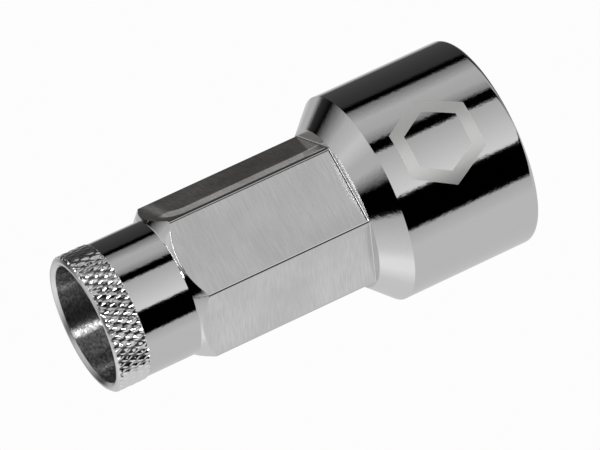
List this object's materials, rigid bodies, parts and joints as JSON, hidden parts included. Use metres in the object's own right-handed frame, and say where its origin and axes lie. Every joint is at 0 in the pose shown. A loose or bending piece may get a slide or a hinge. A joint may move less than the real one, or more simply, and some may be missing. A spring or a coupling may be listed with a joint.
{
  "type": "lug nut cap",
  "caption": "Slip-on chromed cap for a wheel bolt's hexagon head: round collar, sloping shoulder, long outer hexagon, plain neck and an open knurled end.",
  "frame": {"origin": "on the cap's axis, in the plane of the collar's open rear face, on which the cap stands", "axes": "+Z along the axis, from the collar's rear face towards the knurled open end; two corners of the outer hexagon and of the socket point along X, two flats face along Y"},
  "size_m": [0.0256, 0.0256, 0.0529],
  "materials": {
    "chrome_plate": "bright plating over turned and milled metal",
    "black_rubber": "matt moulded rubber"
  },
  "bodies": {
    "root": {"cap_body": "chrome_plate", "grip_ring": "black_rubber"}
  },
  "joints": []
}
